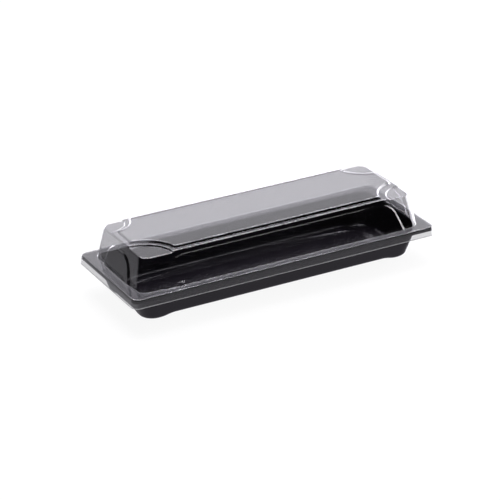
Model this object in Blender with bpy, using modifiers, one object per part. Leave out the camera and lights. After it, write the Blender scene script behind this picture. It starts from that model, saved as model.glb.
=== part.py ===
"""Long takeaway tray: a shallow thermoformed base with a clear domed lid snapped over its rim.

Metres, +Z up. The origin is the middle of the tray's underside, +X runs along the tray's length.
Each shell is an outer form with a slightly smaller copy of the same form taken out of it, so that
its folds, arches, steps and feet show on both faces of the sheet.
"""

import math

import bmesh
import bpy
from mathutils import Matrix

MM = 0.001

# Sheet thicknesses, and the play between the lid and the rim that it covers.
LID_SHEET = 0.40 * MM
BASE_SHEET = 0.50 * MM
PLAY = 0.30 * MM

# Plan half sizes and corner radii of the lid.
BRIM_HALF = (111.0 * MM, 42.8 * MM)
BRIM_RADIUS = 4.8 * MM
SKIRT_FLARE = 0.5 * MM
FOOT_HALF = (103.2 * MM, 36.0 * MM)
FOOT_RADIUS = 7.0 * MM
WALL_RUN = 4.7 * MM
SHOULDER_RADIUS = 5.0 * MM
PANEL_INSET = 3.4 * MM

# Heights of the lid.
SKIRT_BOTTOM = 16.5 * MM
BRIM_TOP = 22.7 * MM
PAD_TOP = 43.9 * MM
SHOULDER_TOP = 44.9 * MM
PANEL_TOP = 46.5 * MM
EDGE_ROUND = 0.6 * MM
FINE_ROUND = 0.3 * MM

# Corners of the lid's top: arcs round the corner of the wall.
NOTCH_RADIUS = 22.6 * MM
PAD_RADIUS = 18.6 * MM
RISER_RUN = 0.4 * MM

# Arches that stand out of the lid's walls.
ARCH_OUT = 1.0 * MM
ARCH_LEAN = 0.39
SIDE_ARCH = {"foot": 89.0 * MM, "top": 41.5 * MM, "bend": 13.0 * MM}
END_ARCH = {"foot": 19.5 * MM, "top": 38.9 * MM, "bend": 12.0 * MM}

# Small lugs at the foot of the long walls, near their -X end.
LUG_AT = -75.3 * MM
LUG_HALF = (2.7 * MM, 2.3 * MM)
LUG_TOP = 25.2 * MM
LUG_TAPER = 0.7 * MM

# Base: rim, turned-down lip, wall, feet and floor.
RIM_TOP = BRIM_TOP - LID_SHEET - PLAY
LIP_BOTTOM = 19.6 * MM
RIM_HALF = tuple(side - LID_SHEET - PLAY for side in BRIM_HALF)
RIM_RADIUS = BRIM_RADIUS - LID_SHEET - PLAY
BASE_TOP_HALF = (104.3 * MM, 37.1 * MM)
BASE_LOW_HALF = (97.6 * MM, 30.4 * MM)
BASE_RADIUS = 9.0 * MM
BOTTOM_ROUND = 3.0 * MM
FOOT_HEIGHT = 1.6 * MM
FOOT_START = (88.0 * MM, 20.0 * MM)
FOOT_RAMP = (11.0 * MM, 7.0 * MM)
FLOOR_PANEL_HALF = (86.8 * MM, 20.6 * MM)
FLOOR_PANEL_RADIUS = 5.0 * MM
FLOOR_PANEL_DROP = 1.0 * MM
FLOOR_PANEL_RUN = 1.4 * MM

# How finely round stretches are divided.
CORNER_STEPS = 8
ARC_STEPS = 12
BEND_STEPS = 8

# A cutter reaches this far past what it cuts, and a joined form starts this deep in its neighbour.
REACH = 6.0 * MM
ROOT = 1.3 * MM


def clear_scene():
    for obj in list(bpy.data.objects):
        bpy.data.objects.remove(obj, do_unlink=True)
    for mesh in list(bpy.data.meshes):
        bpy.data.meshes.remove(mesh)


def new_collection(name):
    collection = bpy.data.collections.new(name)
    bpy.context.scene.collection.children.link(collection)
    return collection


def new_material(name, color, roughness, alpha=1.0):
    material = bpy.data.materials.new(name)
    material.use_nodes = True
    shader = material.node_tree.nodes["Principled BSDF"]
    shader.inputs["Base Color"].default_value = (*color, 1.0)
    shader.inputs["Roughness"].default_value = roughness
    shader.inputs["Metallic"].default_value = 0.0
    shader.inputs["Alpha"].default_value = alpha
    return material


def rounded_rectangle(half, radius, height, centre=(0.0, 0.0)):
    """Points round a rectangle with round corners, anticlockwise."""
    points = []
    corners = ((1, 1, 0.0), (-1, 1, 0.5), (-1, -1, 1.0), (1, -1, 1.5))
    for side_x, side_y, start in corners:
        middle_x = centre[0] + side_x * (half[0] - radius)
        middle_y = centre[1] + side_y * (half[1] - radius)
        for step in range(CORNER_STEPS + 1):
            angle = math.pi * (start + 0.5 * step / CORNER_STEPS)
            x = middle_x + radius * math.cos(angle)
            y = middle_y + radius * math.sin(angle)
            points.append((x, y, height))
    return points


def notched_rectangle(half, corner, radius, height):
    """A rectangle whose corners are cut by arcs of the radius round the points +-corner."""
    reach_x = math.acos((corner[0] - half[0]) / radius)
    reach_y = math.asin((corner[1] - half[1]) / radius)
    points = []
    for side_x, side_y in ((1, 1), (-1, 1), (-1, -1), (1, -1)):
        arc = []
        for step in range(ARC_STEPS + 1):
            angle = reach_x + (reach_y - reach_x) * step / ARC_STEPS
            x = corner[0] - radius * math.cos(angle)
            y = corner[1] - radius * math.sin(angle)
            arc.append((side_x * x, side_y * y, height))
        points += arc if side_x * side_y > 0 else arc[::-1]
    return points


def arch_outline(arch, foot_height, inset, low):
    """(along, height) points of an arch with leaning legs, down to the height low."""
    lean = math.atan(ARCH_LEAN)
    top = arch["top"] - inset
    bend = arch["bend"] - inset
    foot = arch["foot"] - inset / math.cos(lean)
    shoulder = foot - ARCH_LEAN * (top - foot_height)
    middle = shoulder - bend * math.tan((math.pi / 2 - lean) / 2)
    half = [(foot + ARCH_LEAN * (foot_height - low), low)]
    for step in range(BEND_STEPS + 1):
        angle = lean + (math.pi / 2 - lean) * step / BEND_STEPS
        half.append((middle + bend * math.cos(angle), top - bend + bend * math.sin(angle)))
    return half + [(-along, height) for along, height in reversed(half)]


def loft_into(mesh, rings):
    """Joins rings of the same number of points by quads, closes both ends and returns the last."""
    rows = []
    for ring in rings:
        rows.append([mesh.verts.new(point) for point in ring])
    for lower, upper in zip(rows, rows[1:]):
        for first, last in zip(range(-1, len(lower) - 1), range(len(lower))):
            mesh.faces.new((lower[first], lower[last], upper[last], upper[first]))
    mesh.faces.new(rows[0][::-1])
    return mesh.faces.new(rows[-1])


def link_mesh(name, mesh, collection):
    bmesh.ops.recalc_face_normals(mesh, faces=mesh.faces)
    data = bpy.data.meshes.new(name)
    mesh.to_mesh(data)
    mesh.free()
    obj = bpy.data.objects.new(name, data)
    collection.objects.link(obj)
    return obj


def new_solid(name, lofts, collection, rounding=0.0, segments=2):
    """One object from closed lofts, given as lists of rings. The last ring's edge is rounded."""
    mesh = bmesh.new()
    weights = mesh.edges.layers.float.new("bevel_weight_edge")
    for rings in lofts:
        end = loft_into(mesh, rings)
        for edge in end.edges:
            edge[weights] = 1.0
    obj = link_mesh(name, mesh, collection)
    if rounding:
        bevel = obj.modifiers.new("rounded edge", "BEVEL")
        bevel.limit_method = "WEIGHT"
        bevel.width = rounding
        bevel.segments = segments
    return obj


def as_helper(obj):
    """Leaves a helper solid out of the model itself."""
    obj.hide_render = True
    obj.display_type = "WIRE"
    return obj


def new_form(name, lofts, collection, rounding=0.0, segments=2):
    return as_helper(new_solid(name, lofts, collection, rounding, segments))


def combine(target, operation, other):
    modifier = target.modifiers.new(operation.lower() + " " + other.name, "BOOLEAN")
    modifier.operation = operation
    modifier.object = other
    modifier.solver = "EXACT"


def finish(obj, material):
    obj.data.materials.append(material)
    obj.data.shade_smooth()
    obj.data.set_sharp_from_angle(angle=math.radians(35))


def grown(half, amount):
    return (half[0] + amount, half[1] + amount)


def lid_wall_half(height):
    """Half sizes of the lid's wall at a height: it leans in towards the top."""
    climbed = (height - BRIM_TOP) / (SHOULDER_TOP - BRIM_TOP)
    return grown(FOOT_HALF, -WALL_RUN * climbed)


def lid_wall_rings(inset):
    low = BRIM_TOP - inset - ROOT
    high = SHOULDER_TOP - inset
    low_half = grown(lid_wall_half(low), -inset)
    high_half = grown(lid_wall_half(high), -inset)
    return [
        rounded_rectangle(low_half, FOOT_RADIUS - inset, low),
        rounded_rectangle(high_half, SHOULDER_RADIUS - inset, high),
    ]


def corner_pad_tool(name, inset, helpers):
    """Four round tools that lower the corners of the shoulder."""
    corner = lid_wall_half(SHOULDER_TOP)
    low = PAD_TOP - inset
    mesh = bmesh.new()
    for side_x in (-1, 1):
        for side_y in (-1, 1):
            centre = (side_x * corner[0], side_y * corner[1], low + REACH / 2)
            bmesh.ops.create_cone(
                mesh,
                cap_ends=True,
                segments=4 * ARC_STEPS,
                radius1=PAD_RADIUS + inset,
                radius2=PAD_RADIUS + inset,
                depth=REACH,
                matrix=Matrix.Translation(centre),
            )
    return as_helper(link_mesh(name, mesh, helpers))


def panel_rings(inset):
    corner = lid_wall_half(SHOULDER_TOP)
    half = grown(corner, -PANEL_INSET - inset)
    radius = NOTCH_RADIUS + inset
    low_half = grown(half, RISER_RUN)
    low_radius = radius - RISER_RUN
    return [
        notched_rectangle(low_half, corner, low_radius, SHOULDER_TOP - inset - ROOT),
        notched_rectangle(low_half, corner, low_radius, SHOULDER_TOP - inset),
        notched_rectangle(half, corner, radius, PANEL_TOP - inset),
    ]


def arch_rings(arch, side, along_x, inset):
    """A slab with the arch's outline that lies along one sloping wall, from inside it to its face."""
    low = BRIM_TOP - inset - ROOT
    outline = arch_outline(arch, BRIM_TOP, inset, low)
    rings = []
    for out in (-2 * ROOT, ARCH_OUT):
        ring = []
        for along, height in outline:
            across = lid_wall_half(height)[1 if along_x else 0] + out - inset
            if along_x:
                ring.append((along, side * across, height))
            else:
                ring.append((side * across, along, height))
        rings.append(ring)
    return rings


def lug_rings(side, inset):
    middle = (LUG_AT, side * FOOT_HALF[1])
    half = grown(LUG_HALF, -inset)
    top_half = grown(half, -LUG_TAPER)
    radius = LUG_TAPER
    low = BRIM_TOP - inset - ROOT
    return [
        rounded_rectangle(half, radius, low, middle),
        rounded_rectangle(half, radius, BRIM_TOP - inset, middle),
        rounded_rectangle(top_half, radius, LUG_TOP - inset, middle),
    ]


def lid_dome(name, inset, helpers):
    """The lid above its brim: sloping walls, lowered corners, raised panel, arches and lugs."""
    dome = new_form(name, [lid_wall_rings(inset)], helpers, EDGE_ROUND)
    combine(dome, "DIFFERENCE", corner_pad_tool(name + " corner pads", inset, helpers))
    panel = new_form(name + " panel", [panel_rings(inset)], helpers, FINE_ROUND, 1)
    combine(dome, "UNION", panel)
    arches = []
    for side in (-1, 1):
        arches.append(arch_rings(SIDE_ARCH, side, True, inset))
        arches.append(arch_rings(END_ARCH, side, False, inset))
    combine(dome, "UNION", new_form(name + " arches", arches, helpers, FINE_ROUND, 1))
    lugs = [lug_rings(side, inset) for side in (-1, 1)]
    combine(dome, "UNION", new_form(name + " lugs", lugs, helpers, FINE_ROUND, 1))
    return dome


def brim_rings(half, radius, bottom, top, flare):
    """A flat block with a slightly flared side."""
    return [
        rounded_rectangle(grown(half, flare), radius + flare, bottom),
        rounded_rectangle(half, radius, top),
    ]


def make_lid(parts, helpers):
    flare_below = SKIRT_FLARE * (1 + REACH / (BRIM_TOP - SKIRT_BOTTOM))
    outside = brim_rings(BRIM_HALF, BRIM_RADIUS, SKIRT_BOTTOM, BRIM_TOP, SKIRT_FLARE)
    inside = brim_rings(
        grown(BRIM_HALF, -LID_SHEET),
        BRIM_RADIUS - LID_SHEET,
        SKIRT_BOTTOM - REACH,
        BRIM_TOP - LID_SHEET,
        flare_below,
    )
    lid = new_solid("clear_lid", [outside], parts, EDGE_ROUND)
    combine(lid, "UNION", lid_dome("lid outside", 0.0, helpers))
    hollow = new_form("lid brim hollow", [inside], helpers, EDGE_ROUND)
    combine(hollow, "UNION", lid_dome("lid inside", LID_SHEET, helpers))
    combine(lid, "DIFFERENCE", hollow)
    finish(lid, new_material("clear plastic", (0.80, 0.81, 0.82), 0.05, 0.25))
    return lid


def base_wall_half(height):
    """Half sizes of the base's outer face at a height, without the rounding of its underside."""
    run = (BASE_TOP_HALF[0] - BASE_LOW_HALF[0]) * height / RIM_TOP
    return grown(BASE_LOW_HALF, run)


def base_body_rings(inset, top):
    """From the top down, so that the rounded edge is that of the underside."""
    rings = []
    for height in (top, inset):
        half = grown(base_wall_half(height), -inset)
        rings.append(rounded_rectangle(half, BASE_RADIUS, height))
    return rings


def ramp_tool_rings(axis, inset):
    """A long wedge-sided tool that lifts the floor between the feet along one axis."""
    start = FOOT_START[axis]
    ramp = FOOT_RAMP[axis]
    below = REACH / 3
    top = FOOT_HEIGHT + inset
    low_half = start + ramp * below / FOOT_HEIGHT
    profile = (
        (-low_half, inset - below),
        (low_half, inset - below),
        (start - ramp, top),
        (ramp - start, top),
    )
    rings = []
    for end in (-1, 1):
        reach = end * (BRIM_HALF[1 - axis] + REACH)
        if axis == 0:
            rings.append([(along, reach, height) for along, height in profile])
        else:
            rings.append([(reach, along, height) for along, height in profile])
    return rings


def floor_panel_rings(inset):
    """The floor's sunk middle, which widens upwards into the body."""
    half = grown(FLOOR_PANEL_HALF, -inset)
    radius = FLOOR_PANEL_RADIUS - inset
    low = FOOT_HEIGHT - FLOOR_PANEL_DROP + inset
    climb = FLOOR_PANEL_DROP + ROOT
    run = FLOOR_PANEL_RUN * climb / FLOOR_PANEL_DROP
    return [
        rounded_rectangle(half, radius, low),
        rounded_rectangle(grown(half, run), radius + run, low + climb),
    ]


def under_panel_rings(inset):
    """The room under the sunk middle, which parts it from the feet."""
    half = grown(FLOOR_PANEL_HALF, FLOOR_PANEL_RUN + inset)
    radius = FLOOR_PANEL_RADIUS + FLOOR_PANEL_RUN + inset
    high = FOOT_HEIGHT - FLOOR_PANEL_DROP + inset
    return [rounded_rectangle(half, radius, -REACH), rounded_rectangle(half, radius, high)]


def base_body(name, inset, top, helpers):
    """The base below its rim, with a floor that is lifted between four feet and sunk in its middle."""
    body = new_form(name, [base_body_rings(inset, top)], helpers, BOTTOM_ROUND, 4)
    for axis, way in enumerate(("length", "width")):
        tool = new_form(name + " lift along " + way, [ramp_tool_rings(axis, inset)], helpers)
        combine(body, "DIFFERENCE", tool)
    room = new_form(name + " room under panel", [under_panel_rings(inset)], helpers)
    combine(body, "DIFFERENCE", room)
    panel = new_form(name + " floor panel", [floor_panel_rings(inset)], helpers)
    combine(body, "UNION", panel)
    return body


def make_base(parts, helpers):
    rim = brim_rings(RIM_HALF, RIM_RADIUS, LIP_BOTTOM, RIM_TOP, 0.0)
    under = brim_rings(
        grown(RIM_HALF, -BASE_SHEET),
        RIM_RADIUS - BASE_SHEET,
        LIP_BOTTOM - REACH,
        RIM_TOP - BASE_SHEET,
        0.0,
    )
    base = new_solid("base_tray", [rim], parts, EDGE_ROUND)
    under_rim = new_form("base under rim", [under], helpers, EDGE_ROUND)
    combine(base, "DIFFERENCE", under_rim)
    outside = base_body("base outside", 0.0, RIM_TOP - BASE_SHEET / 2, helpers)
    combine(base, "UNION", outside)
    inside = base_body("base inside", BASE_SHEET, RIM_TOP + REACH, helpers)
    combine(base, "DIFFERENCE", inside)
    finish(base, new_material("black plastic", (0.012, 0.011, 0.013), 0.22))
    return base


def main():
    clear_scene()
    parts = new_collection("takeaway tray")
    helpers = new_collection("helpers")
    make_base(parts, helpers)
    make_lid(parts, helpers)
    bpy.context.view_layer.update()


main()
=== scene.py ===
"""Long narrow takeaway tray with a clear snap-on lid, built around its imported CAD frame.

Both sheets are drawn as one open surface each, from a swept edge, filled flats and rounded folds,
and Solidify gives them their thickness. Lengths inside the mesh code are in millimetres.
"""

import math

import bmesh
import bpy
from bpy.props import FloatProperty, FloatVectorProperty, PointerProperty
from bpy.types import Operator, Panel, PropertyGroup
from mathutils import Matrix, Vector
from mathutils.geometry import delaunay_2d_cdt


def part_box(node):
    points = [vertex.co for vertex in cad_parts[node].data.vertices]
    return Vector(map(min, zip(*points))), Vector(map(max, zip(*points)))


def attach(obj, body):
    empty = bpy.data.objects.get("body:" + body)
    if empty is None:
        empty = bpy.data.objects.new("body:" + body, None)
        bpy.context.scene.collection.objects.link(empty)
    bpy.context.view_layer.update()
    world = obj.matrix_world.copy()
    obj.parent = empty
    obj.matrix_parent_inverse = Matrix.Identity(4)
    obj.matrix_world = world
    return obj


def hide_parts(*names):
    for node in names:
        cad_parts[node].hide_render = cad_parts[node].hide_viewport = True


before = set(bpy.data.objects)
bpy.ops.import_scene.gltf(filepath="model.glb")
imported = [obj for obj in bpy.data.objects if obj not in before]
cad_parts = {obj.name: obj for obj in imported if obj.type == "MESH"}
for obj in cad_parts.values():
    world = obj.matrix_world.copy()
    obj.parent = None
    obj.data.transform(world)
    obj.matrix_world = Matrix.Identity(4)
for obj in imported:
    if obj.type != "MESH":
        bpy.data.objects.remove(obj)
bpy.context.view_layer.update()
LID_LOW, LID_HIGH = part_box("clear_lid")
BASE_LOW, BASE_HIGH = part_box("base_tray")

bl_info = {
    "name": "Takeaway tray",
    "version": (1, 0, 0),
    "blender": (4, 5, 0),
    "location": "3D View > Sidebar > Takeaway tray",
    "description": "Builds a long takeaway tray with a clear snap-on lid",
    "category": "Object",
}

MM = 0.001
CORNER_STEPS = 12  # steps round each corner in plan
WELD = 1e-4  # points nearer than this are one


def size_mm(name, description, default):
    return FloatProperty(name=name, description=description, default=default, precision=2)


def four_mm(name, description, default):
    """One size for each corner, anticlockwise from the far right one."""
    return FloatVectorProperty(name=name, description=description, size=4, default=default)


def colour_setting(name, description, default):
    return FloatVectorProperty(
        name=name, description=description, subtype="COLOR", default=default
    )


def angle_setting(name, description, degrees):
    return FloatProperty(
        name=name, description=description, subtype="ANGLE", default=math.radians(degrees)
    )


class LidSizes(PropertyGroup):
    """Sizes of the clear lid, in millimetres."""

    sheet: size_mm("Sheet", "Thickness of the clear sheet", 0.4)
    flare: size_mm("Skirt flare", "How far the skirt's foot stands out", 0.5)
    brim_radius: size_mm("Brim corner", "Corner radius of the brim in plan", 4.8)
    end_ledge: size_mm("End ledge", "Width of the flat ledge at the dome's ends", 7.8)
    side_ledge: size_mm("Side ledge", "Width of the flat ledge at the dome's sides", 6.8)
    brim_top: size_mm("Brim height", "Height of the ledge above the table", 22.7)
    shoulder_top: size_mm("Shoulder height", "Height of the shoulder round the panel", 44.9)
    wall_run: size_mm("Wall lean", "How far the wall leans in from foot to shoulder", 4.7)
    foot_radius: size_mm("Foot corner", "Corner radius of the wall's foot", 8.0)
    shoulder_radius: size_mm("Shoulder corner", "Corner radius of the wall's top", 6.2)
    panel_inset: size_mm("Panel inset", "Width of the shoulder round the panel", 3.4)
    notch_radii: four_mm(
        "Notch radii", "Radii of the arcs that cut the panel's corners", (21.5, 18.8, 24.5, 21.8)
    )
    pad_radii: four_mm(
        "Pad radii", "Radii of the lowered corner pads", (17.5, 15.0, 21.2, 16.4)
    )
    pad_drop: size_mm("Pad drop", "How far a corner pad lies below the shoulder", 1.0)
    arch_out: size_mm("Arch relief", "How far the arches stand out at the foot of the walls", 1.2)
    arch_fade: size_mm("Arch top relief", "How far the arches stand out at their top", 0.9)
    lug_out: size_mm("Lug relief", "How far a lug stands out of its arch", 1.7)


class BaseSizes(PropertyGroup):
    """Sizes of the black base, in millimetres."""

    sheet: size_mm("Sheet", "Thickness of the black sheet", 0.5)
    rim_radius: size_mm("Rim corner", "Corner radius of the rim in plan", 4.1)
    lip: size_mm("Lip", "Depth of the rim's turned-down lip", 2.4)
    top_half_x: size_mm("Mouth half length", "Half length of the well at the rim", 103.8)
    top_half_y: size_mm("Mouth half width", "Half width of the well at the rim", 36.6)
    wall_run: size_mm("Wall lean", "How far the wall leans in from rim to floor", 5.5)
    corner: size_mm("Well corner", "Corner radius of the well in plan", 9.0)
    floor_round: size_mm("Floor rounding", "Radius between wall and floor", 3.0)
    foot_depth: size_mm("Foot depth", "How far the four feet reach below the floor", 1.6)
    panel_drop: size_mm("Panel drop", "How far the floor's middle lies below its border", 1.0)


class Finishes(PropertyGroup):
    """Colours of the two plastics; the dome's top is tinted darker as painted shade."""

    base_colour: colour_setting("Base", "Colour of the black sheet", (0.009, 0.007, 0.0115))
    wall_tint: colour_setting("Walls", "Tint of each face of the dome's walls", (0.832, 0.83, 0.84))
    # Painted shade: the top is tinted darker to stand in for shade seen through the dome's top.
    painted_shade_top_tint: colour_setting("Top", "Tint of each face of the dome's top", (0.745, 0.742, 0.755))
    brim_tint: colour_setting("Brim", "Tint of each face of the clear brim", (0.82, 0.82, 0.825))
    haze: FloatProperty(name="Haze", description="Haze of the brim", default=0.03, min=0.0, max=1.0)


class StageSettings(PropertyGroup):
    """Camera and light."""

    heading: angle_setting("Heading", "Turn of the camera round the tray", 27.0434)
    elevation: angle_setting("Elevation", "Height of the camera as an angle", 24.4580)
    roll: angle_setting("Roll", "Roll of the camera", -1.8814)
    distance: FloatProperty(
        name="Distance",
        description="Distance of the camera",
        default=1.49187,
        subtype="DISTANCE",
        unit="LENGTH",
    )
    lens: FloatProperty(name="Lens", description="Focal length", default=161.68, unit="CAMERA")
    floor_colour: colour_setting("Floor", "Colour of the floor", (1.0, 1.0, 1.0))
    backdrop: FloatProperty(name="Backdrop", description="Glow of the backdrop", default=1.05)
    ground: FloatProperty(name="Ground", description="Glow of the ground in reflections", default=0.38)
    band: FloatProperty(name="Band", description="Glow of the backdrop's bright foot", default=5.0)
    canopy: FloatProperty(name="Canopy", description="Glow of the light above the backdrop", default=8.0)
    side: FloatProperty(name="Side", description="Glow of the room's right side", default=5.0)
    overhead: FloatProperty(
        name="Overhead", description="Power of the overhead light", default=5.0, unit="POWER"
    )


# -------------------- sections and outlines


def rounded_section(corners, radii, steps=4):
    """A section line whose inner corners are rounded. radii has one value per inner corner."""
    line = [Vector(corners[0])]
    for before, corner, after, radius in zip(corners, corners[1:], corners[2:], radii):
        corner = Vector(corner)
        back = (Vector(before) - corner).normalized()
        ahead = (Vector(after) - corner).normalized()
        half_angle = back.angle(ahead) / 2
        reach = radius / math.tan(half_angle)
        middle = corner + (back + ahead).normalized() * radius / math.sin(half_angle)
        start = corner + back * reach - middle
        end = corner + ahead * reach - middle
        turn = start.angle_signed(end)
        for step in range(steps + 1):
            arm = start.copy()
            arm.rotate(Matrix.Rotation(-turn * step / steps, 2))
            line.append(middle + arm)
    line.append(Vector(corners[-1]))
    return line


def step_section(height, slope, top_radius, foot_radius, steps=3):
    """Offsets and heights of a rounded step: height at offset < 0, and zero past it."""
    run = height / math.tan(slope)
    reach = 2.0
    corners = [(-reach, height), (-run / 2, height), (run / 2, 0.0), (reach, 0.0)]
    line = rounded_section(corners, (top_radius, foot_radius), steps)[1:-1]
    return [point.x for point in line], [point.y for point in line]


def read_section(section, offset):
    """Height of a step's section at an offset."""
    offsets, heights = section
    if offset <= offsets[0]:
        return heights[0]
    for left, right, low, high in zip(offsets, offsets[1:], heights, heights[1:]):
        if offset <= right:
            return low + (high - low) * (offset - left) / (right - left)
    return heights[-1]


def ramp(value, start, end):
    """0 before start, 1 after end, with soft ends."""
    share = min(max((value - start) / (end - start), 0.0), 1.0)
    return share * share * (3 - 2 * share)


CORNERS = ((1, 1), (-1, 1), (-1, -1), (1, -1))


def corner_of(x, y):
    """Index in CORNERS of the corner that a place in plan is nearest to."""
    return CORNERS.index((1 if x > 0 else -1, 1 if y > 0 else -1))


def notched_rectangle(half, corner, radii, steps=20):
    """A rectangle whose corners are cut by arcs round the points +-corner, anticlockwise."""
    line = []
    for (side_x, side_y), radius in zip(CORNERS, radii):
        first = math.acos((corner[0] - half[0]) / radius)
        last = math.asin((corner[1] - half[1]) / radius)
        arc = []
        for step in range(steps + 1):
            angle = first + (last - first) * step / steps
            x = corner[0] - radius * math.cos(angle)
            y = corner[1] - radius * math.sin(angle)
            arc.append((side_x * x, side_y * y))
        line += arc if side_x * side_y > 0 else arc[::-1]
    return line


def rounded_rectangle(half, radius, steps=8):
    """A rectangle with round corners, anticlockwise."""
    line = []
    for side_x, side_y, start in ((1, 1, 0.0), (-1, 1, 0.5), (-1, -1, 1.0), (1, -1, 1.5)):
        for step in range(steps + 1):
            angle = math.pi * (start + 0.5 * step / steps)
            line.append(
                (
                    side_x * (half[0] - radius) + radius * math.cos(angle),
                    side_y * (half[1] - radius) + radius * math.sin(angle),
                )
            )
    return line


class Arch:
    """Outline of a raised arch on a wall: leaning legs, round shoulders and a level top."""

    def __init__(self, middle, foot, top, bend, lean, low):
        self.middle = middle
        self.foot = foot
        self.top = top
        self.bend = bend
        self.lean = math.atan(lean)
        self.low = low
        self.shoulder = foot - lean * (top - low)
        turn = math.pi / 2 - self.lean
        self.centre_x = self.shoulder - bend * math.tan(turn / 2)
        self.centre_z = top - bend

    def depth(self, along, height):
        """Distance inside the outline."""
        side = abs(along - self.middle)
        leg = (self.foot - side) * math.cos(self.lean) - (height - self.low) * math.sin(self.lean)
        crown = self.top - height
        out_x = side - self.centre_x
        out_z = height - self.centre_z
        past_leg = out_x * math.sin(self.lean) * -1 + out_z * math.cos(self.lean)
        if out_x > 0 and past_leg > 0 and leg < self.bend and crown < self.bend:
            return self.bend - math.hypot(out_x, out_z)
        return min(leg, crown)

    def line(self, inset, low, steps=10):
        """The outline moved inwards by inset, from foot to foot, cut off at the height low."""
        bend = self.bend - inset
        reach = math.tan(self.lean)
        foot = self.foot - inset / math.cos(self.lean) - reach * (low - self.low)
        half = [(foot, low)]
        start_z = self.centre_z + bend * math.sin(self.lean)
        for step in range(1, 5):
            height = low + (start_z - low) * step / 5
            half.append((foot - reach * (height - low), height))
        for step in range(steps + 1):
            angle = self.lean + (math.pi / 2 - self.lean) * step / steps
            half.append(
                (self.centre_x + bend * math.cos(angle), self.centre_z + bend * math.sin(angle))
            )
        for step in range(1, 4):
            half.append((self.centre_x * (1 - step / 4), self.top - inset))
        whole = half + [(-x, z) for x, z in reversed(half)]
        return [(self.middle + x, z) for x, z in whole]


class Lug:
    """Outline of a small block at a wall's foot."""

    def __init__(self, middle, half, top, corner):
        self.middle = middle
        self.half = half
        self.top = top
        self.corner = corner

    def depth(self, along, height):
        out_x = abs(along - self.middle) - (self.half - self.corner)
        out_z = height - (self.top - self.corner)
        if out_x > 0 and out_z > 0:
            return self.corner - math.hypot(out_x, out_z)
        return min(self.corner - out_x, self.corner - out_z)

    def line(self, inset, low, steps=4):
        corner = self.corner - inset
        half = [(self.half - inset, low)]
        for step in range(steps + 1):
            angle = math.pi / 2 * step / steps
            half.append(
                (
                    self.half - self.corner + corner * math.cos(angle),
                    self.top - self.corner + corner * math.sin(angle),
                )
            )
        whole = half + [(-x, z) for x, z in reversed(half)]
        return [(self.middle + x, z) for x, z in whole]


# -------------------- sheet builder


class Station:
    """One place round a rounded rectangle: spread on its straight sides, turn at its corners."""

    def __init__(self, spread, turn):
        self.spread = spread
        self.turn = turn

    def at(self, half, radius):
        x = self.spread[0] * (half[0] - radius) + radius * self.turn[0]
        y = self.spread[1] * (half[1] - radius) + radius * self.turn[1]
        return x, y


def plan_stations(long_marks, short_marks):
    """Stations anticlockwise, and for each side the indices of its first and last one."""
    stations = []
    spans = []
    sides = (
        ((1, 0), short_marks, 1),
        ((0, 1), long_marks, -1),
        ((-1, 0), short_marks, -1),
        ((0, -1), long_marks, 1),
    )
    for number, (turn, marks, way) in enumerate(sides):
        first = len(stations)
        for mark in [-way, *sorted(marks, reverse=way < 0)]:
            spread = (mark, turn[1]) if turn[0] == 0 else (turn[0], mark)
            stations.append(Station(spread, turn))
        spans.append((first, len(stations)))
        across = sides[(number + 1) % 4][0]
        corner = (turn[0] + across[0], turn[1] + across[1])
        start = math.pi / 2 * number
        for step in range(CORNER_STEPS):
            angle = start + math.pi / 2 * step / CORNER_STEPS
            stations.append(Station(corner, (math.cos(angle), math.sin(angle))))
    return stations, spans


def inside(loops, u, v):
    """Whether a point lies inside an odd number of loops."""
    found = False
    for loop in loops:
        for (u1, v1), (u2, v2) in zip(loop, loop[1:] + loop[:1]):
            if (v1 > v) != (v2 > v) and u < u1 + (v - v1) * (u2 - u1) / (v2 - v1):
                found = not found
    return found


def fill_patch(mesh, loops, lines, place):
    """Fills the region between loops of (u, v, vertex) with triangles that follow the lines."""
    coords = []
    edges = []
    known = []
    for loop in loops:
        start = len(coords)
        for number, (u, v, vertex) in enumerate(loop):
            coords.append(Vector((u, v)))
            known.append(vertex)
            edges.append((start + number, start + (number + 1) % len(loop)))
    outlines = [[(u, v) for u, v, _ in loop] for loop in loops]
    for line, closed in lines:
        start = len(coords)
        coords += [Vector(point) for point in line]
        edges += [(start + n, start + n + 1) for n in range(len(line) - 1)]
        if closed:
            edges.append((start + len(line) - 1, start))
    verts, _, faces, origins, _, _ = delaunay_2d_cdt(coords, edges, [], 0, 1e-5)
    made = []
    for point, origin in zip(verts, origins):
        own = [known[n] for n in origin if n < len(known)]
        made.append(own[0] if own else None)
    for face in faces:
        middle_u = sum(verts[n].x for n in face) / len(face)
        middle_v = sum(verts[n].y for n in face) / len(face)
        if not inside(outlines, middle_u, middle_v):
            continue
        for n in face:
            if made[n] is None:
                made[n] = mesh.verts.new(place(verts[n].x, verts[n].y))
        corners = [made[n] for n in face]
        if len(set(corners)) == len(corners) and mesh.faces.get(corners) is None:
            mesh.faces.new(corners)


def strip(mesh, lower, upper):
    """A closed band of faces between two rings."""
    for n in range(len(lower)):
        after = (n + 1) % len(lower)
        mesh.faces.new((lower[n], lower[after], upper[after], upper[n]))


def skin(mesh, rows):
    for lower, upper in zip(rows, rows[1:]):
        strip(mesh, lower, upper)


def flat(ring):
    """A ring of vertices as a loop for fill_patch, seen from above."""
    return [(v.co.x, v.co.y, v) for v in ring]


def clip_line(line, keep):
    """Runs of a line's points that lie where keep says."""
    runs = [[]]
    for point in line:
        if keep(*point):
            runs[-1].append(point)
        elif runs[-1]:
            runs.append([])
    return [run for run in runs if len(run) > 1]


# -------------------- swept edge, geometry nodes


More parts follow.
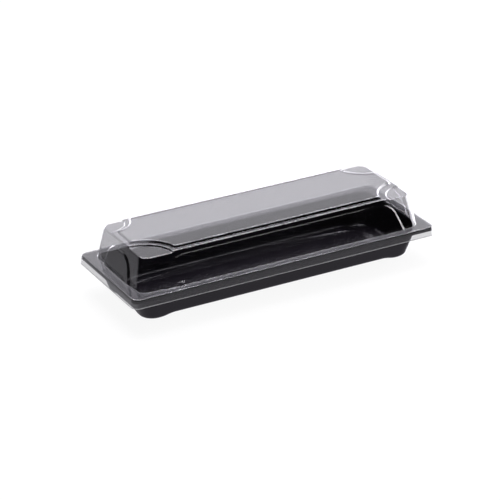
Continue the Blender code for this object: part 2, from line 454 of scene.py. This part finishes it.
class Nodes:
    """Short calls for building a node tree."""

    def __init__(self, tree):
        self.tree = tree
        tree.nodes.clear()

    def add(self, kind, inputs=(), **settings):
        node = self.tree.nodes.new(kind)
        for key, value in settings.items():
            setattr(node, key, value)
        for key, value in dict(inputs).items():
            if isinstance(value, bpy.types.NodeSocket):
                self.tree.links.new(value, node.inputs[key])
            else:
                node.inputs[key].default_value = value
        return node

    def out(self, kind, inputs=(), **settings):
        """The first output of a new node."""
        return self.add(kind, inputs, **settings).outputs[0]

    def math(self, operation, first, second):
        return self.out("ShaderNodeMath", {0: first, 1: second}, operation=operation)


LIP_RISE = 0.45  # height over which the lip turns out, mm
LEAST_FOLD = 0.25  # radius of the folds other than the top one, mm
TOP_POINT = 2  # the section's point at the skirt's top


def swept_edge_tree():
    """A folded edge swept round a rounded rectangle: lip, skirt, rounded top and start of the flat."""
    tree = bpy.data.node_groups.new("swept edge", "GeometryNodeTree")
    face = tree.interface
    face.new_socket("Geometry", in_out="OUTPUT", socket_type="NodeSocketGeometry")
    kinds = {
        "Float": ("Length", "Width", "Corner Radius", "Height", "Skirt", "Flare", "Lip")
        + ("Edge Radius", "Flat"),
        "Int": ("Corner Steps", "Edge Steps"),
        "Material": ("Material",),
    }
    for kind, names in kinds.items():
        for name in names:
            face.new_socket(name, in_out="INPUT", socket_type="NodeSocket" + kind)
    nodes = Nodes(tree)
    given = nodes.add("NodeGroupInput").outputs

    def spot(x, y):
        return nodes.out("ShaderNodeCombineXYZ", {0: x, 1: y})

    def fillet(curve, count, radius):
        sockets = {"Curve": curve, "Count": count, "Radius": radius}
        return nodes.out("GeometryNodeFilletCurve", sockets, mode="POLY")

    plan = nodes.out(
        "GeometryNodeCurvePrimitiveQuadrilateral",
        {"Width": given["Length"], "Height": given["Width"]},
    )
    plan = fillet(plan, given["Corner Steps"], given["Corner Radius"])
    rail = nodes.out("GeometryNodeSetCurveNormal", {"Curve": plan}, mode="Z_UP")

    points = (
        spot(nodes.math("ADD", given["Flare"], given["Lip"]), given["Skirt"]),
        spot(given["Flare"], nodes.math("SUBTRACT", given["Skirt"], LIP_RISE)),
        spot(0.0, 0.0),
        spot(nodes.math("MULTIPLY", given["Flat"], -1.0), 0.0),
    )
    section = nodes.out("GeometryNodeMeshLine", {"Count": len(points)})
    index = nodes.out("GeometryNodeInputIndex")
    pick = nodes.add("GeometryNodeIndexSwitch", data_type="VECTOR")
    while len(pick.index_switch_items) < len(points):
        pick.index_switch_items.new()
    for number, source in enumerate((index, *points)):
        tree.links.new(source, pick.inputs[number])
    section = nodes.out(
        "GeometryNodeSetPosition", {"Geometry": section, "Position": pick.outputs[0]}
    )
    line = nodes.out("GeometryNodeMeshToCurve", {"Mesh": section})
    at_top = nodes.out(
        "FunctionNodeCompare", {2: index, 3: TOP_POINT}, data_type="INT", operation="EQUAL"
    )
    fold = nodes.math("MULTIPLY", given["Edge Radius"], at_top)
    line = fillet(line, given["Edge Steps"], nodes.math("MAXIMUM", fold, LEAST_FOLD))

    swept = nodes.out("GeometryNodeCurveToMesh", {"Curve": rail, "Profile Curve": line})
    lift = nodes.out("ShaderNodeCombineXYZ", {"Z": given["Height"]})
    raised = nodes.out("GeometryNodeTransform", {"Geometry": swept, "Translation": lift})
    real = nodes.out("GeometryNodeRealizeInstances", {0: raised})
    coated = nodes.out(
        "GeometryNodeSetMaterial", {"Geometry": real, "Material": given["Material"]}
    )
    nodes.add("NodeGroupOutput", {0: coated})
    return tree


def swept_edge(name, material, half, sizes):
    """One swept edge as an open mesh, in millimetres."""
    tree = bpy.data.node_groups.get("swept edge") or swept_edge_tree()
    holder = bpy.data.objects.new(name, bpy.data.meshes.new(name))
    bpy.context.scene.collection.objects.link(holder)
    modifier = holder.modifiers.new("swept edge", "NODES")
    modifier.node_group = tree
    keys = {item.name: item.identifier for item in tree.interface.items_tree}
    plan = {"Length": 2 * half[0], "Width": 2 * half[1], "Corner Steps": CORNER_STEPS}
    for key, value in {**sizes, **plan, "Edge Steps": 4, "Material": material}.items():
        modifier[keys[key]] = value
    graph = bpy.context.evaluated_depsgraph_get()
    data = bpy.data.meshes.new_from_object(holder.evaluated_get(graph), depsgraph=graph)
    holder.modifiers.remove(modifier)
    bpy.data.objects.remove(holder)
    mesh = bmesh.new()
    mesh.from_mesh(data)
    bpy.data.meshes.remove(data)
    bmesh.ops.remove_doubles(mesh, verts=mesh.verts, dist=WELD)
    return mesh


def ring_at(mesh, height):
    """The vertices of an open sweep's border at a height, anticlockwise."""
    ring = []
    for vertex in mesh.verts:
        if vertex.is_boundary and abs(vertex.co.z - height) < 1e-3:
            ring.append(vertex)
    ring.sort(key=lambda vertex: math.atan2(vertex.co.y, vertex.co.x))
    return ring


def finish_sheet(mesh, name, material, sheet):
    """Scales the open surface to metres, gives it its thickness and links it."""
    bmesh.ops.recalc_face_normals(mesh, faces=mesh.faces)
    mesh.normal_update()
    top = max(mesh.faces, key=lambda face: face.calc_area() if face.normal.z**2 > 0.9 else 0)
    if top.normal.z < 0:
        bmesh.ops.reverse_faces(mesh, faces=mesh.faces)
    bmesh.ops.scale(mesh, vec=(MM, MM, MM), verts=mesh.verts)
    data = bpy.data.meshes.new(name)
    mesh.to_mesh(data)
    mesh.free()
    for polygon in data.polygons:
        polygon.use_smooth = True
    data.materials.append(material)
    piece = bpy.data.objects.new(name, data)
    bpy.context.scene.collection.objects.link(piece)
    thick = piece.modifiers.new("sheet", "SOLIDIFY")
    thick.thickness = sheet * MM
    thick.offset = -1.0
    thick.use_even_offset = True
    thick.use_rim = True
    flats = piece.modifiers.new("flats", "WEIGHTED_NORMAL")
    flats.mode = "FACE_AREA"
    flats.weight = 60
    flats.keep_sharp = True
    return piece


# -------------------- clear lid


class LidForm:
    """Shape of the lid's outer face."""

    def __init__(self, sizes):
        self.sizes = sizes
        self.brim_half = (LID_HIGH.x / MM - sizes.flare, LID_HIGH.y / MM - sizes.flare)
        self.foot_half = (self.brim_half[0] - sizes.end_ledge, self.brim_half[1] - sizes.side_ledge)
        self.low = sizes.brim_top
        self.high = sizes.shoulder_top
        self.panel_top = LID_HIGH.z / MM
        self.corner = tuple(side - sizes.wall_run for side in self.foot_half)
        panel_rise = self.panel_top - self.high
        # Steps, by height, slope, radius at the top and radius at the foot.
        steep = math.radians(74)
        self.riser = step_section(panel_rise, steep, 1.0, 0.3)
        self.pad_step = step_section(sizes.pad_drop, steep, 0.8, 0.25)
        self.arch_step = step_section(sizes.arch_out, math.radians(58), 1.3, 0.5)
        self.lug_step = step_section(sizes.lug_out, math.radians(70), 0.9, 0.35)
        arch_lean = 0.39
        self.side_arch = Arch(middle=1.7, foot=88.4, top=41.8, bend=13.0, lean=arch_lean, low=self.low)
        self.end_arch = Arch(middle=0.0, foot=19.5, top=39.0, bend=12.0, lean=arch_lean, low=self.low)
        self.lug = Lug(middle=-75.3, half=2.7, top=25.2, corner=0.8)

    def lean(self, height):
        return self.sizes.wall_run * (height - self.low) / (self.high - self.low)

    def half(self, height):
        return tuple(side - self.lean(height) for side in self.foot_half)

    def radius(self, height):
        climbed = (height - self.low) / (self.high - self.low)
        first, last = self.sizes.foot_radius, self.sizes.shoulder_radius
        return first + (last - first) * climbed

    def relief(self, station, along, height):
        """How far the wall stands out at a place."""
        if station.turn[0] and station.turn[1]:
            return 0.0
        if station.turn[0]:
            if abs(station.turn[0]) < 1:
                return 0.0
            return self.arch_relief(self.end_arch, along, height)
        out = self.arch_relief(self.side_arch, along, height)
        lug = self.lug
        rise = ramp(along, lug.middle - 1.5 * lug.half, lug.middle + lug.half)
        return out + rise * read_section(self.lug_step, -lug.depth(along, height))

    def arch_relief(self, arch, along, height):
        full = read_section(self.arch_step, -arch.depth(along, height))
        climbed = (height - arch.low) / (arch.top - arch.low)
        return full * (1 + (self.sizes.arch_fade / self.sizes.arch_out - 1) * climbed)

    def pad(self, x, y):
        """How far the shoulder is lowered at a place in plan."""
        away = math.hypot(self.corner[0] - abs(x), self.corner[1] - abs(y))
        radius = self.sizes.pad_radii[corner_of(x, y)]
        return self.sizes.pad_drop - read_section(self.pad_step, radius - away)

    def top(self, x, y):
        half = tuple(side - self.sizes.panel_inset for side in self.corner)
        away = math.hypot(self.corner[0] - abs(x), self.corner[1] - abs(y))
        radius = self.sizes.notch_radii[corner_of(x, y)]
        inside_by = min(half[0] - abs(x), half[1] - abs(y), away - radius)
        return self.high + read_section(self.riser, -inside_by) - self.pad(x, y)


def wall_marks(form, axis, parts, least):
    """Where stations stand along a wall, as shares of its straight stretch."""
    arch = (form.side_arch, form.end_arch)[axis]
    straight_low = form.foot_half[axis] - form.sizes.foot_radius
    straight_high = form.corner[axis] - form.sizes.shoulder_radius
    marks = {step / parts for step in range(1 - parts, parts)}
    for side in (-1, 1):
        for offset in form.arch_step[0]:
            foot = arch.foot + offset / math.cos(arch.lean)
            marks.add((arch.middle + side * foot) / straight_low)
        if axis == 0:
            for offset in form.lug_step[0]:
                marks.add((form.lug.middle + side * (form.lug.half + offset)) / straight_low)
        for radius in form.sizes.pad_radii:
            for offset in form.pad_step[0]:
                marks.add(side * (form.corner[axis] - radius + offset) / straight_high)
    return thinned(marks, least)


def thinned(marks, least):
    """The marks in order, without those nearer than least to the one before."""
    kept = []
    for mark in sorted(marks):
        if not kept or mark - kept[-1] >= least:
            kept.append(mark)
    return kept


def build_lid(context):
    settings = context.scene.takeaway_tray
    sizes = settings.lid
    form = LidForm(sizes)
    material = clear_plastic(settings.finishes)
    skirt_lean = 0.2
    mesh = swept_edge(
        "lid brim",
        material,
        form.brim_half,
        {
            "Corner Radius": sizes.brim_radius,
            "Height": sizes.brim_top,
            "Skirt": sizes.brim_top - LID_LOW.z / MM,
            "Flare": skirt_lean,
            "Lip": sizes.flare - skirt_lean,
            "Edge Radius": 0.9,
            "Flat": 2.0,
        },
    )
    brim_ring = ring_at(mesh, form.low)
    stations, spans = plan_stations(wall_marks(form, 0, 13, 0.0012), wall_marks(form, 1, 5, 0.004))

    def add(station, half, radius, height, relief_height=None):
        x, y = station.at(half, radius)
        along = y if abs(station.turn[0]) == 1 else x
        out = form.relief(station, along, height if relief_height is None else relief_height)
        return mesh.verts.new((x + station.turn[0] * out, y + station.turn[1] * out, height))

    # The foot: from the ledge up into the wall.
    reach = 2.0
    up = (-form.lean(form.low + reach), reach)
    foot_line = rounded_section([(reach, 0.0), (0.0, 0.0), up], [0.6], 3)[1:-1]
    rows = []
    for point in foot_line:
        half = tuple(side + point.x for side in form.foot_half)
        row = []
        for station in stations:
            row.append(add(station, half, sizes.foot_radius + point.x, form.low + point.y, form.low))
        rows.append(row)
    skin(mesh, rows)
    ledge_ring = rows[0]
    wall_foot = rows[-1]
    wall_low = form.low + foot_line[-1].y

    # The shoulder: from the wall into the flat round the panel.
    down = (form.sizes.wall_run * reach / (form.high - form.low), -reach)
    edge_line = rounded_section([down, (0.0, 0.0), (-reach, 0.0)], [1.0], 4)[1:-1]
    rows = []
    tops = []
    for station in stations:
        x, y = station.at(form.corner, sizes.shoulder_radius)
        tops.append(form.high - form.pad(x, y))
    for point in edge_line:
        row = []
        for station, top in zip(stations, tops):
            half = tuple(side + point.x for side in form.half(top))
            row.append(add(station, half, form.radius(top) + point.x, top + point.y))
        rows.append(row)
    skin(mesh, rows)
    wall_top = rows[0]
    shoulder_ring = rows[-1]

    # The four corners of the wall.
    count = len(stations)
    levels = 6
    columns = {}

    def column(index):
        index %= count
        if index not in columns:
            station = stations[index]
            high = wall_top[index].co.z
            made = [wall_foot[index]]
            for level in range(1, levels):
                height = wall_low + (high - wall_low) * level / levels
                made.append(add(station, form.half(height), form.radius(height), height))
            columns[index] = [*made, wall_top[index]]
        return columns[index]

    for _, last in spans:
        for index in range(last, last + CORNER_STEPS):
            left, right = column(index), column(index + 1)
            for level in range(levels):
                mesh.faces.new((left[level], right[level], right[level + 1], left[level + 1]))

    # The four walls, with their arches and lugs. Lines start clear of the foot's ring.
    line_low = wall_low + 0.12
    for first, last in spans:
        station = stations[first]
        axis = 1 if station.turn[0] else 0
        bottom = [wall_foot[n % count] for n in range(first, last + 1)]
        right = column(last)[1:-1]
        top = [wall_top[n % count] for n in range(last, first - 1, -1)]
        left = column(first)[1:-1][::-1]
        loop = [(v.co[axis], v.co.z, v) for v in bottom + right + top + left]
        arch = form.side_arch if axis == 0 else form.end_arch
        lines = [arch.line(-offset, wall_low) for offset in form.arch_step[0]]
        if axis == 0:
            lines += [form.lug.line(-offset, wall_low) for offset in form.lug_step[0]]
        kept = []
        for line in lines:
            kept += [(run, False) for run in clip_line(line, lambda u, v: v > line_low)]

        def place(u, v, station=station, axis=axis):
            across = form.half(v)[1 - axis] + form.relief(station, u, v)
            if axis == 0:
                return (u, station.turn[1] * across, v)
            return (station.turn[0] * across, u, v)

        fill_patch(mesh, [loop], kept, place)

    # The ledge between the brim and the wall's foot.
    fill_patch(mesh, [flat(brim_ring), flat(ledge_ring)], [], lambda u, v: (u, v, form.low))

    # The top: shoulder, corner pads and raised panel.
    lines = []
    half = tuple(side - sizes.panel_inset for side in form.corner)
    for offset in form.riser[0]:
        grown = tuple(side + offset for side in half)
        radii = [radius - offset for radius in sizes.notch_radii]
        lines.append((notched_rectangle(grown, form.corner, radii), True))
    limit = tuple(side - 1.1 for side in form.corner)  # clear of the shoulder's ring
    for offset in form.pad_step[0]:
        for (side_x, side_y), pad_radius in zip(CORNERS, sizes.pad_radii):
            radius = pad_radius - offset
            arc = []
            for step in range(33):
                angle = math.pi / 2 * step / 32
                x = form.corner[0] - radius * math.cos(angle)
                y = form.corner[1] - radius * math.sin(angle)
                arc.append((side_x * x, side_y * y))
            kept = clip_line(arc, lambda u, v: abs(u) < limit[0] and abs(v) < limit[1])
            lines += [(run, False) for run in kept]
    fill_patch(mesh, [flat(shoulder_ring)], lines, lambda u, v: (u, v, form.top(u, v)))
    return finish_sheet(mesh, "lid_shell", material, sizes.sheet)


# -------------------- black base


FOOT_X = (77.0, 88.0)
FOOT_Y = (13.0, 20.0)
PANEL_HALF = (87.5, 21.3)
PANEL_CORNER = 5.0


def foot_steps(span):
    """Places across the slope between foot and floor."""
    return [span[0] + (span[1] - span[0]) * step / 8 for step in range(9)]


class BaseForm:
    """Shape of the base's upper face."""

    def __init__(self, sizes):
        self.sizes = sizes
        self.rim_top = BASE_HIGH.z / MM
        self.rim_half = (BASE_HIGH.x / MM, BASE_HIGH.y / MM)
        self.mouth = (sizes.top_half_x, sizes.top_half_y)
        self.floor = sizes.foot_depth + sizes.sheet
        self.panel_step = step_section(sizes.panel_drop, math.radians(35.5), 0.5, 0.6)

    def half(self, height):
        share = (self.rim_top - height) / (self.rim_top - self.floor)
        return tuple(side - self.sizes.wall_run * share for side in self.mouth)

    def feet(self, x, y):
        return self.sizes.foot_depth * ramp(abs(x), *FOOT_X) * ramp(abs(y), *FOOT_Y)

    def panel(self, x, y):
        """1 in the floor's sunk middle, 0 outside it."""
        out_x = abs(x) - (PANEL_HALF[0] - PANEL_CORNER)
        out_y = abs(y) - (PANEL_HALF[1] - PANEL_CORNER)
        past = math.hypot(out_x, out_y) if out_x > 0 and out_y > 0 else max(out_x, out_y)
        return read_section(self.panel_step, past - PANEL_CORNER) / self.sizes.panel_drop

    def height(self, x, y):
        middle = self.panel(x, y)
        return self.floor - self.feet(x, y) * (1 - middle) - self.sizes.panel_drop * middle


def build_base(context):
    settings = context.scene.takeaway_tray
    sizes = settings.base
    form = BaseForm(sizes)
    material = black_plastic(settings.finishes)
    mesh = swept_edge(
        "base rim",
        material,
        form.rim_half,
        {
            "Corner Radius": sizes.rim_radius,
            "Height": form.rim_top,
            "Skirt": sizes.lip,
            "Flare": 0.0,
            "Lip": 0.0,
            "Edge Radius": 0.8,
            "Flat": 1.8,
        },
    )
    rim_ring = ring_at(mesh, form.rim_top)

    low_half = form.half(form.floor)
    marks = []
    for axis, span, parts in ((0, FOOT_X, 12), (1, FOOT_Y, 5)):
        own = {step / parts for step in range(1 - parts, parts)}
        for place in foot_steps(span):
            own |= {side * place / (low_half[axis] - sizes.corner) for side in (-1, 1)}
        marks.append(own)
    stations, _ = plan_stations(thinned(marks[0], 0.01), thinned(marks[1], 0.02))

    # The section runs from the flange over the mouth's edge, down the wall and out on the floor.
    reach = 3.0
    drop = form.rim_top - form.floor
    slope = sizes.wall_run / drop
    mouth_line = rounded_section([(reach, 0.0), (0.0, 0.0), (-slope * reach, -reach)], [0.9], 4)[1:-1]
    foot_reach = 6.0
    floor_line = rounded_section(
        [(slope * foot_reach, foot_reach), (0.0, 0.0), (-foot_reach, 0.0)],
        [sizes.floor_round],
        7,
    )[1:-1]
    rows = []
    for point in mouth_line:
        half = tuple(side + point.x for side in form.mouth)
        rows.append([(s.at(half, sizes.corner + point.x), form.rim_top + point.y) for s in stations])
    floors = []
    for station in stations:
        half = tuple(side - 2.0 for side in low_half)
        floors.append(form.height(*station.at(half, sizes.corner - 2.0)))
    start = rows[-1]
    for level in range(1, 5):
        row = []
        for station, floor, (_, high) in zip(stations, floors, start):
            low = floor + floor_line[0].y
            height = high + (low - high) * level / 5
            row.append((station.at(form.half(height), sizes.corner), height))
        rows.append(row)
    for point in floor_line:
        row = []
        for station, floor in zip(stations, floors):
            half = tuple(side + point.x for side in form.half(floor))
            corner = sizes.corner + min(point.x, 0.0)
            row.append((station.at(half, corner), floor + point.y))
        rows.append(row)
    made = []
    for row in rows:
        made.append([mesh.verts.new((*place, height)) for place, height in row])
    skin(mesh, made)
    fill_patch(mesh, [flat(rim_ring), flat(made[0])], [], lambda u, v: (u, v, form.rim_top))

    lines = []
    for offset in form.panel_step[0]:
        grown = tuple(side + offset for side in PANEL_HALF)
        lines.append((rounded_rectangle(grown, PANEL_CORNER + offset), True))
    # Lines across the feet's slopes, between the panel and the floor's rounded edge.
    for axis, span in ((0, FOOT_X), (1, FOOT_Y)):
        other = 1 - axis
        limit = low_half[other] - 4.5
        for side in (-1, 1):
            for place in foot_steps(span):
                for way in (-1, 1):
                    reached = [PANEL_HALF[other] + 2 + step for step in range(20)]
                    line = [(side * place, way * far) for far in reached if far < limit]
                    if len(line) > 1:
                        lines.append(([point[::-1] if axis else point for point in line], False))
    fill_patch(mesh, [flat(made[-1])], lines, lambda u, v: (u, v, form.height(u, v)))
    return finish_sheet(mesh, "base_shell", material, sizes.sheet)


# -------------------- finishes

# Heights over which a property of the clear sheet changes, in metres.
BRIM_TO_WALL = (0.0228, 0.0260)
# Heights where the walls' tinted colour gives way to the top's darker painted shade.
WALL_TO_SHADED_TOP = (0.0428, 0.0438)
CLEAR_TO_HAZY = (0.0245, 0.0227)
CLEAR_TO_CUT = (0.0171, 0.0166)
CUT_FROST = 0.4
PLASTIC_INDEX = 1.5


def new_material(name):
    material = bpy.data.materials.new(name)
    material.use_nodes = True
    return material, Nodes(material.node_tree)


def rippled(nodes, place, scale, detail, roughness, strength, distance):
    """A normal bent by soft noise."""
    noise = {"Vector": place, "Scale": scale, "Detail": detail, "Roughness": roughness}
    ripple = nodes.out("ShaderNodeTexNoise", noise)
    return nodes.out(
        "ShaderNodeBump", {"Strength": strength, "Distance": distance, "Height": ripple}
    )


def clear_plastic(finishes):
    """Clear thermoformed sheet: grey tinted, darker on the top as painted shade, a mirror skin, faint
    haze on the brim, a frosted cut.
    """
    material, nodes = new_material("clear sheet")
    place = nodes.add("ShaderNodeTexCoord").outputs["Object"]
    height = nodes.add("ShaderNodeSeparateXYZ", {0: place}).outputs["Z"]

    def rise(span, last=1.0):
        """A value that goes from zero to last over a span of heights."""
        ends = {"From Min": span[0], "From Max": span[1], "To Max": last}
        return nodes.out("ShaderNodeMapRange", {"Value": height, **ends})

    def blend(factor, first, second):
        sockets = {0: factor, 6: first, 7: second}
        return nodes.add("ShaderNodeMix", sockets, data_type="RGBA").outputs[2]

    # The sheet is tinted by height; the darker top is painted shade, not the plastic's own colour.
    brim, wall, top = (
        (*colour, 1.0) for colour in (finishes.brim_tint, finishes.wall_tint, finishes.painted_shade_top_tint)
    )
    tint_and_painted_shade = blend(rise(WALL_TO_SHADED_TOP), blend(rise(BRIM_TO_WALL), brim, wall), top)
    bump = rippled(
        nodes, place, scale=22.0, detail=2.0, roughness=0.4, strength=0.12, distance=0.002
    )
    through = nodes.out("ShaderNodeBsdfTransparent", {"Color": tint_and_painted_shade})
    mirror = nodes.out(
        "ShaderNodeBsdfGlossy", {"Color": (1, 1, 1, 1), "Roughness": 0.05, "Normal": bump}
    )
    # Faces seen from within the sheet take the inverse index.
    inner = nodes.add("ShaderNodeNewGeometry").outputs["Backfacing"]
    less = nodes.math("MULTIPLY", inner, PLASTIC_INDEX - 1 / PLASTIC_INDEX)
    index = nodes.math("SUBTRACT", PLASTIC_INDEX, less)
    fresnel = nodes.out("ShaderNodeFresnel", {"IOR": index, "Normal": bump})
    sheet = nodes.out("ShaderNodeMixShader", {0: fresnel, 1: through, 2: mirror})

    noise = {"Vector": place, "Scale": 420.0, "Detail": 3.0, "Roughness": 0.6}
    mottle = nodes.out("ShaderNodeTexNoise", noise)
    patches = nodes.out(
        "ShaderNodeMapRange", {"Value": mottle, "From Min": 0.15, "From Max": 0.85}
    )
    haze = nodes.math("MULTIPLY", patches, rise(CLEAR_TO_HAZY, finishes.haze))
    frosted = nodes.math("MAXIMUM", haze, rise(CLEAR_TO_CUT, CUT_FROST))
    white = (0.9, 0.9, 0.91, 1.0)
    shine = nodes.out("ShaderNodeBsdfDiffuse", {"Color": white})
    glow = nodes.out("ShaderNodeBsdfTranslucent", {"Color": white})
    frost = nodes.out("ShaderNodeMixShader", {0: 0.5, 1: shine, 2: glow})
    surface = nodes.out("ShaderNodeMixShader", {0: frosted, 1: sheet, 2: frost})
    nodes.add("ShaderNodeOutputMaterial", {"Surface": surface})
    return material


def black_plastic(finishes):
    """Black thermoformed sheet with a faint grain and soft gloss."""
    material, nodes = new_material("black sheet")
    place = nodes.add("ShaderNodeTexCoord").outputs["Object"]
    grain = rippled(
        nodes, place, scale=260.0, detail=3.0, roughness=0.6, strength=0.06, distance=0.0003
    )
    shader = nodes.out(
        "ShaderNodeBsdfPrincipled",
        {
            "Base Color": (*finishes.base_colour, 1.0),
            "Roughness": 0.2,
            "IOR": PLASTIC_INDEX,
            "Specular IOR Level": 0.43,
            "Normal": grain,
        },
    )
    nodes.add("ShaderNodeOutputMaterial", {"Surface": shader})
    return material


def floor_material(colour):
    """Pale paper that mostly glows by itself, so that it stays even."""
    own_glow = 0.92
    material, nodes = new_material("floor paper")
    lit = nodes.out("ShaderNodeBsdfDiffuse", {"Color": (*colour, 1.0)})
    glow = nodes.out("ShaderNodeEmission", {"Color": (*colour, 1.0), "Strength": 1.0})
    shader = nodes.out("ShaderNodeMixShader", {0: own_glow, 1: lit, 2: glow})
    nodes.add("ShaderNodeOutputMaterial", {"Surface": shader})
    return material


# -------------------- stage


def view_axes(stage):
    """Right, up and back directions of the camera."""
    back = Vector(
        (
            -math.sin(stage.heading) * math.cos(stage.elevation),
            -math.cos(stage.heading) * math.cos(stage.elevation),
            math.sin(stage.elevation),
        )
    )
    level = Vector((math.cos(stage.heading), -math.sin(stage.heading), 0.0))
    upright = back.cross(level)
    right = math.cos(stage.roll) * level + math.sin(stage.roll) * upright
    up = math.cos(stage.roll) * upright - math.sin(stage.roll) * level
    return right, up, back


def add_camera(context, stage):
    right, up, back = view_axes(stage)
    camera = bpy.data.cameras.new("view")
    camera.lens = stage.lens
    camera.sensor_width = 36.0
    holder = bpy.data.objects.new("view", camera)
    context.scene.collection.objects.link(holder)
    aim = Vector((0.0, 0.0, 0.0016)) - 0.00626 * right + 0.01219 * up  # middle of the frame
    turn = Matrix((right, up, back)).transposed().to_4x4()
    holder.matrix_world = Matrix.Translation(aim + stage.distance * back) @ turn
    context.scene.camera = holder


def add_floor(context, stage):
    mesh = bmesh.new()
    bmesh.ops.create_grid(mesh, x_segments=1, y_segments=1, size=6.0)
    data = bpy.data.meshes.new("floor")
    mesh.to_mesh(data)
    mesh.free()
    data.materials.append(floor_material(stage.floor_colour))
    floor = bpy.data.objects.new("floor", data)
    floor.visible_glossy = False
    context.scene.collection.objects.link(floor)


def add_room(context, stage):
    """The room's glow: a bright backdrop, a brighter right side, a dim front and a pale ground.

    Each glow is eased in between two heights, or between two cosines of the angle to a direction.
    """
    world = bpy.data.worlds.new("room")
    world.use_nodes = True
    nodes = Nodes(world.node_tree)
    way = nodes.add("ShaderNodeTexCoord").outputs["Generated"]
    height = nodes.add("ShaderNodeSeparateXYZ", {0: way}).outputs["Z"]

    def towards(*direction):
        return nodes.add(
            "ShaderNodeVectorMath",
            {0: way, 1: Vector(direction).normalized()},
            operation="DOT_PRODUCT",
        ).outputs["Value"]

    def eased(value, start, end, high, low=0.0):
        sockets = {"Value": value, "From Min": start, "From Max": end, "To Min": low, "To Max": high}
        return nodes.out("ShaderNodeMapRange", sockets, interpolation_type="SMOOTHSTEP")

    ahead = (math.sin(stage.heading), math.cos(stage.heading))
    backdrop = eased(towards(*ahead, 0.0), 0.2, 0.86, stage.backdrop, 0.03)
    sky = nodes.math("MULTIPLY", backdrop, eased(height, -0.12, 0.1, 1.0))
    ground = eased(height, -0.08, -0.24, stage.ground)
    right = eased(towards(1.0, 0.12, 0.08), 0.74, 0.9, stage.side)
    foot = eased(height, -0.32, -0.2, 1.0)
    band = nodes.math("MULTIPLY", foot, eased(height, 0.26, 0.14, stage.band))
    band = nodes.math("MULTIPLY", band, eased(towards(*ahead, 0.0), 0.75, 0.9, 1.0))
    canopy = eased(towards(*ahead, 1.43), 0.9, 0.96, stage.canopy)
    corner = eased(towards(0.66, 0.66, -0.36), 0.9, 0.97, stage.side / 2)
    level = nodes.math("ADD", sky, ground)
    for part in (right, band, canopy, corner):
        level = nodes.math("ADD", level, part)
    glow = nodes.out("ShaderNodeBackground", {"Color": (1.015, 1.0, 1.06, 1.0), "Strength": level})
    # The camera sees plain white behind the floor, and the tray is lit by the glow.
    plain = nodes.out("ShaderNodeBackground", {"Color": (1, 1, 1, 1), "Strength": 1.0})
    seen = nodes.add("ShaderNodeLightPath").outputs["Is Camera Ray"]
    shown = nodes.out("ShaderNodeMixShader", {0: seen, 1: glow, 2: plain})
    nodes.add("ShaderNodeOutputWorld", {"Surface": shown})
    context.scene.world = world


def add_softbox(context, name, power, size, place):
    """A soft light that faces the tray."""
    light = bpy.data.lights.new(name, "AREA")
    light.shape = "RECTANGLE"
    light.size, light.size_y = size
    light.energy = power
    holder = bpy.data.objects.new(name, light)
    holder.location = place
    holder.rotation_euler = Vector(place).to_track_quat("Z", "Y").to_euler()
    context.scene.collection.objects.link(holder)


# -------------------- add-on


class TraySettings(PropertyGroup):
    """Everything a user may change."""

    lid: PointerProperty(type=LidSizes)
    base: PointerProperty(type=BaseSizes)
    finishes: PointerProperty(type=Finishes)
    stage: PointerProperty(type=StageSettings)


class TRAY_OT_base(Operator):
    """Build the black base"""

    bl_idname = "takeaway_tray.base"
    bl_label = "Black base"

    def execute(self, context):
        piece = build_base(context)
        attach(piece, "root")
        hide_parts("base_tray")
        return {"FINISHED"}


class TRAY_OT_lid(Operator):
    """Build the clear lid"""

    bl_idname = "takeaway_tray.lid"
    bl_label = "Clear lid"

    def execute(self, context):
        piece = build_lid(context)
        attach(piece, "root")
        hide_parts("clear_lid")
        return {"FINISHED"}


class TRAY_OT_stage(Operator):
    """Set the floor, the light and the camera"""

    bl_idname = "takeaway_tray.stage"
    bl_label = "Stage"

    def execute(self, context):
        stage = context.scene.takeaway_tray.stage
        add_camera(context, stage)
        add_floor(context, stage)
        add_room(context, stage)
        add_softbox(context, "overhead light", stage.overhead, (1.2, 1.0), (0.2, 0.0, 1.3))
        context.scene.view_settings.view_transform = "Standard"
        context.scene.cycles.transparent_max_bounces = 32
        return {"FINISHED"}


class TRAY_PT_sidebar(Panel):
    """The tray's operators"""

    bl_idname = "TRAY_PT_sidebar"
    bl_label = "Takeaway tray"
    bl_space_type = "VIEW_3D"
    bl_region_type = "UI"
    bl_category = "Takeaway tray"

    def draw(self, context):
        for operator in (TRAY_OT_base, TRAY_OT_lid, TRAY_OT_stage):
            self.layout.operator(operator.bl_idname)


CLASSES = (
    LidSizes,
    BaseSizes,
    Finishes,
    StageSettings,
    TraySettings,
    TRAY_OT_base,
    TRAY_OT_lid,
    TRAY_OT_stage,
    TRAY_PT_sidebar,
)


def register():
    for item in CLASSES:
        bpy.utils.register_class(item)
    bpy.types.Scene.takeaway_tray = PointerProperty(type=TraySettings)


def unregister():
    del bpy.types.Scene.takeaway_tray
    for item in reversed(CLASSES):
        bpy.utils.unregister_class(item)


def main():
    register()
    bpy.ops.takeaway_tray.base()
    bpy.ops.takeaway_tray.lid()
    bpy.ops.takeaway_tray.stage()


if __name__ == "__main__":
    main()
